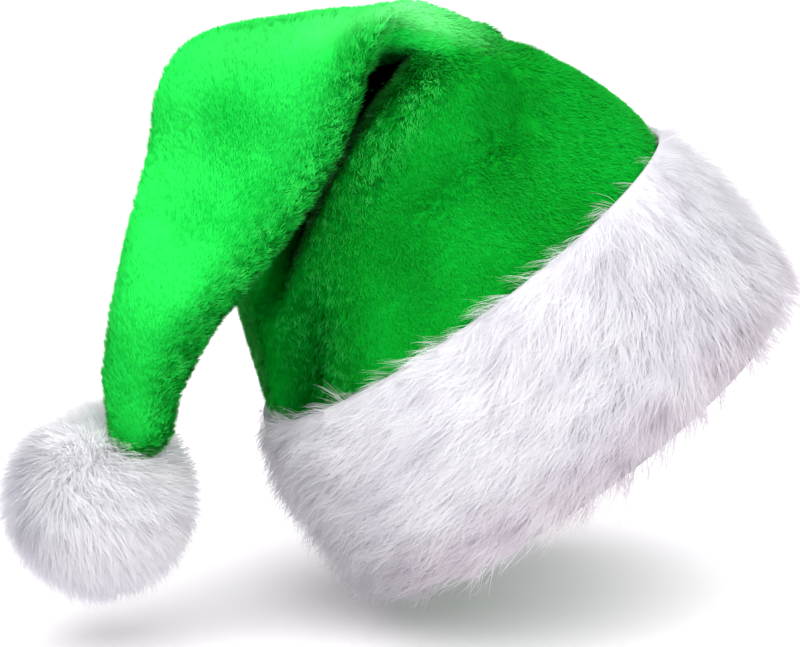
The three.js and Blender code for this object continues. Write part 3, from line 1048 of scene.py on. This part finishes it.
def makeCuffBand():
    angles = ringAngles(cuffBand["columns"])
    form = hatForm
    leafFace = -form["plushThickness"] - form["fitGap"]
    headFace = leafFace - form["leafThickness"]
    profile = [(1.0, form["fitGap"])]
    table = np.array(cuffBand["profile"])
    for share in np.linspace(0, len(table) - 1, 26):
        i = min(int(share), len(table) - 2)
        row = table[i] + (table[i + 1] - table[i]) * (share - i)
        profile.append((row[0], form["fitGap"] + row[1] * form["furDepth"]))
    furRows = (1, len(profile))
    profile.append((cuffBand["fold"][0], 0.0))
    profile += [(0.0, headFace)]
    profile += [(h, headFace) for h in np.linspace(0.06, form["leafHeight"] / form["cuffHeight"], 10)]
    profile.append((form["leafHeight"] / form["cuffHeight"], leafFace))
    profile.append((form["leafThickness"] / form["cuffHeight"], leafFace))
    profile.append((form["leafThickness"] / form["cuffHeight"], form["fitGap"]))
    grid = np.array([clothRing(h, angles, offset) for h, offset in profile])
    columns = len(angles)
    faces = [face[::-1] for face in loftFaces(len(grid), columns, loop=True)]
    obj = makeObject("cuff_band", grid.reshape(-1, 3), faces)
    obj.data.materials.append(cuffWhite)
    obj.data.materials.append(leafCloth)
    slots = np.zeros(len(faces), int)
    slots[furRows[1] * columns:] = 1
    obj.data.polygons.foreach_set("material_index", slots)
    heights = np.repeat([h for h, _ in profile], columns)
    rows = np.repeat(np.arange(len(profile)), columns)
    grown = ((rows >= furRows[0]) & (rows < furRows[1])).astype(float)
    uv = obj.data.uv_layers.new(name="UVMap")
    index = np.zeros(len(obj.data.loops), int)
    obj.data.loops.foreach_get("vertex_index", index)
    rounds = np.tile(angles, len(grid))
    uv.data.foreach_set("uv", np.stack((rounds[index] * 40, heights[index] * 40), 1).ravel())
    return obj, grid.reshape(-1, 3), heights, grown


cuffSkin, cuffPoints, cuffHeights, cuffGrown = makeCuffBand()
cuffNormals = np.zeros(len(cuffPoints) * 3, np.float32)
cuffSkin.data.vertices.foreach_get("normal", cuffNormals)
cuffNormals = cuffNormals.reshape(-1, 3)
toBack = np.clip(0.5 - cuffPoints @ frontAxis / hatForm["headLength"], 0, 1)[:, None]
sweep = unit(np.concatenate((-(0.2 + 0.8 * toBack), 0 * toBack, -(1 - 0.55 * toBack)), 1))
sweep = sweep - cuffNormals * (sweep * cuffNormals).sum(1, keepdims=True)
lost = 1 - np.linalg.norm(sweep, axis=1, keepdims=True)
sweep = unit(sweep - crownAxis * lost)
store(cuffSkin, "comb", sweep)
store(cuffSkin, "thick", cuffGrown)
store(cuffSkin, "rise", np.zeros(len(cuffPoints)))
store(cuffSkin, "tousle", 1.15 - 0.25 * smooth(cuffHeights, 0.0, 0.5))
farBack = smooth(toBack[:, 0], 0.7, 0.98)
# painted shade: rosy grey on the cuff's underside, more at its far back end
store(cuffSkin, "warm", (1 - smooth(cuffHeights, 0.0, 0.45)) * (0.7 + 0.3 * farBack))
# painted shade: grey at the cuff's far back end, less near its top
store(cuffSkin, "dusk", 0.8 * farBack * (1 - 0.4 * smooth(cuffHeights, 0.7, 1.0)))
top = smooth(cuffHeights, 0.8, 1.0)
reach = (0.85 + 0.15 * smooth(cuffHeights, 0.1, 0.5)) * (1 - 0.4 * top)
store(cuffSkin, "reach", reach)

cuffFur = {
    "shapes": {
        "blades": 12,
        "steps": 3,
        "width": 0.0145,
        "rootSpread": 0.1,
        "lift": 30,
        "droop": 4,
        "gather": 0.35,
        "curl": 0.1,
    },
    "growth": {
        "Density": 50000.0,
        "Length": 0.0225,
        "Tousle": 1.7,
        "Stray": 0.32,
        "Clump": 52.0,
        "Seed": 21,
    },
    "softness": 0.93,
}
cuffShapes = shapeSet("cuff_lock", 8, **cuffFur["shapes"])
looseShapes = shapeSet("loose_lock", 8, **dict(cuffFur["shapes"], lift=44, droop=10, curl=0.15))
loose = dict(cuffFur["growth"], Seed=57, Length=0.0235, Stray=0.45)
for name, shapes, growth in (
    ("cuff_fur", cuffShapes, cuffFur["growth"]),
    ("cuff_loose_fur", looseShapes, loose),
):
    pieces[name] = growHair(name, cuffSkin, shapes, cuffWhite, growth, cuffFur["softness"])
print("cuff ready")

# ---------- pompom

pompom = {
    "diameter": 0.081,
    "core": 0.030,
    "tipSeat": 0.011,
    "way": (-0.52, 0.5, -0.8),
    "shapes": {
        "blades": 12,
        "steps": 3,
        "width": 0.019,
        "rootSpread": 0.1,
        "lift": 58,
        "droop": 22,
        "gather": 0.3,
        "curl": 0.1,
    },
    "growth": {
        "Density": 265000.0,
        "Length": 0.0178,
        "Tousle": 1.3,
        "Stray": 0.5,
        "Clump": 70.0,
        "Seed": 31,
    },
    "softness": 0.93,
}
pompomCentre = tipCentre + unit(np.array(pompom["way"])) * (pompom["diameter"] / 2 - pompom["tipSeat"])


def makePompomCore():
    rings, columns = 28, 48
    points, faces = [], []
    for i in range(1, rings):
        polar = math.pi * i / rings
        for j in range(columns):
            angle = 2 * math.pi * j / columns
            points.append((
                math.sin(polar) * math.cos(angle),
                math.sin(polar) * math.sin(angle),
                -math.cos(polar),
            ))
    faces = loftFaces(rings - 1, columns)
    points += [(0, 0, -1), (0, 0, 1)]
    low, high = len(points) - 2, len(points) - 1
    last = (rings - 2) * columns
    for j in range(columns):
        k = (j + 1) % columns
        faces.append((k, j, low))
        faces.append((last + j, last + k, high))
    directions = np.array(points)
    obj = makeObject("pompom_core", pompomCentre + directions * pompom["core"], faces, pompomWhite)
    return obj, directions


pompomSkin, pompomWays = makePompomCore()
swirl = np.stack((-0.6 * pompomWays[:, 1] - 0.2, 0.6 * pompomWays[:, 0], np.full(len(pompomWays), -0.8)), 1)
swirl -= pompomWays * (swirl * pompomWays).sum(1, keepdims=True)
store(pompomSkin, "comb", unit(swirl + 1e-5))
store(pompomSkin, "thick", np.ones(len(pompomWays)))
store(pompomSkin, "reach", np.ones(len(pompomWays)))
store(pompomSkin, "rise", np.zeros(len(pompomWays)))
store(pompomSkin, "tousle", np.ones(len(pompomWays)))
# painted shade: rosy grey under the pompom
store(pompomSkin, "warm", smooth(-pompomWays[:, 2], 0.1, 1.0))
# painted shade: grey on the pompom's left side
store(pompomSkin, "dusk", 0.7 * smooth(-pompomWays[:, 0], 0.45, 1.0))
pompomShapes = shapeSet("pompom_lock", 8, **pompom["shapes"])
pieces["pompom_fur"] = growHair(
    "pompom_fur", pompomSkin, pompomShapes, pompomWhite, pompom["growth"], pompom["softness"]
)
print("pompom ready")

# ---------- the pieces take their places

for piece, node, slot in (
    (crownSkin, "crown", "plush_green"),
    (pieces["crown_pile"], "crown", "plush_green"),
    (pieces["ridge_pile"], "crown", "plush_green"),
    (pieces["tail_pile"], "crown", "plush_green"),
    (cuffSkin, "fur_cuff", "fur_white"),
    (pieces["cuff_fur"], "fur_cuff", "fur_white"),
    (pieces["cuff_loose_fur"], "fur_cuff", "fur_white"),
    (pompomSkin, "pompom", "pompom_white"),
    (pieces["pompom_fur"], "pompom", "pompom_white"),
):
    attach(piece, "root")
    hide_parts(node)

for obj in list(hairShapes.objects):
    bpy.data.objects.remove(obj)
for shapes in (pileShapes, cuffShapes, looseShapes, pompomShapes, hairShapes):
    bpy.data.collections.remove(shapes)

# ---------- studio

studio = {
    "floorHeight": -0.081,
    "floorSize": 12.0,
    "floorGlow": 0.02,
    "aim": (-0.0756, 0.0, 0.0478),
    "elevation": 16.0,
    "distance": 1.5,
    "lens": 160.7,
    "world": 0.46,
    "sun": 4.2,
    "fill": 6.0,
    "left": 5.0,
}


def makeFloor():
    material, wire = startMaterial("pale_floor")
    place = wire.node("ShaderNodeTexCoord", output="Object")
    grain = wire.node("ShaderNodeTexNoise", values={"Vector": place, "Scale": 3.0})
    colour = grain.blend((0.94, 0.91, 0.93, 1), (0.96, 0.93, 0.95, 1))
    coat = wire.node(
        "ShaderNodeBsdfPrincipled",
        values={
            "Base Color": colour,
            "Roughness": 0.8,
            "Specular IOR Level": 0.1,
            "Emission Color": (1, 1, 1, 1),
            "Emission Strength": studio["floorGlow"],
        },
    )
    endMaterial(wire, coat)
    half = studio["floorSize"] / 2
    height = studio["floorHeight"]
    corners = [(-half, -half, height), (half, -half, height), (half, half, height), (-half, half, height)]
    floor = makeObject("floor", corners, [(0, 1, 2, 3)], material)


def aimAt(obj, target):
    obj.rotation_euler = (Vector(target) - obj.location).to_track_quat("-Z", "Y").to_euler()


def addLight(name, kind, place, energy, size, colour=(1, 1, 1)):
    lamp = bpy.data.lights.new(name, kind)
    lamp.energy = energy
    lamp.color = colour
    if kind == "AREA":
        lamp.shape = "DISK"
        lamp.size = size
    else:
        lamp.angle = size
    obj = bpy.data.objects.new(name, lamp)
    bpy.context.scene.collection.objects.link(obj)
    obj.location = place
    aimAt(obj, studio["aim"])


def makeStudio():
    makeFloor()
    world = bpy.data.worlds.new("pale_studio")
    bpy.context.scene.world = world
    world.use_nodes = True
    background = world.node_tree.nodes["Background"]
    background.inputs["Color"].default_value = (0.97, 0.975, 1.0, 1)
    background.inputs["Strength"].default_value = studio["world"]
    addLight("soft_key", "SUN", (0.15, -0.95, 2.2), studio["sun"], math.radians(75))
    addLight("front_fill", "AREA", (0.7, -1.8, 0.7), studio["fill"], 1.2)
    addLight("top_left", "AREA", (-0.9, -0.9, 0.7), studio["left"], 0.7)
    camera = bpy.data.cameras.new("camera")
    camera.lens = studio["lens"]
    camera.clip_start = 0.01
    eye = bpy.data.objects.new("camera", camera)
    bpy.context.scene.collection.objects.link(eye)
    lift = math.radians(studio["elevation"])
    eye.location = Vector(studio["aim"]) + Vector((0, -math.cos(lift), math.sin(lift))) * studio["distance"]
    aimAt(eye, studio["aim"])
    bpy.context.scene.camera = eye
    bpy.context.scene.view_settings.view_transform = "Standard"
    bpy.context.scene.view_settings.look = "None"


makeStudio()
print("studio ready")
